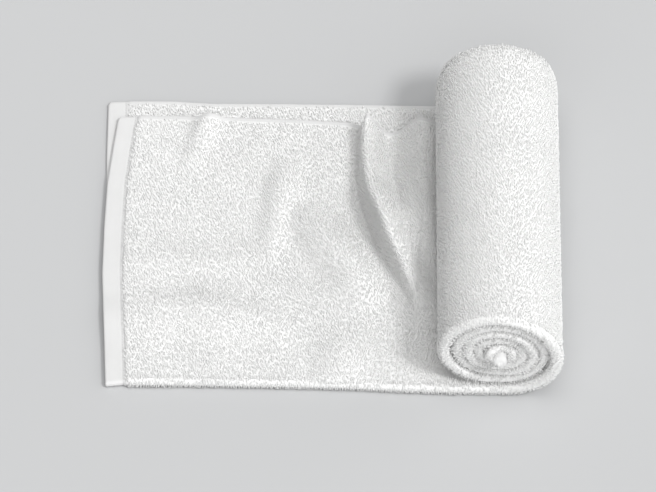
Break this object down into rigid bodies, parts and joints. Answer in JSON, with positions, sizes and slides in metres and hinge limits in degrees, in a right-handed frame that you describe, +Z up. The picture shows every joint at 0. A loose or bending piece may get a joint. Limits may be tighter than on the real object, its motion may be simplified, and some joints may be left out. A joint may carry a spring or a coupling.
{
  "type": "rolled bath towel",
  "caption": "Plain terry bath towel folded in half lengthwise and rolled up from one end, its loose doubled end lying flat with a pleat beside the roll.",
  "frame": {"origin": "centre of the bounding box, on the surface that the towel lies on", "axes": "+X from the loose hem towards the roll, +Y from the front fold towards the selvages, along the roll's axis, +Z up"},
  "size_m": [0.464, 0.367, 0.1154],
  "materials": {
    "terry": "white looped cotton pile, matte, with smooth flat-woven hems and selvages"
  },
  "bodies": {
    "root": {"towel": "terry"}
  },
  "joints": []
}
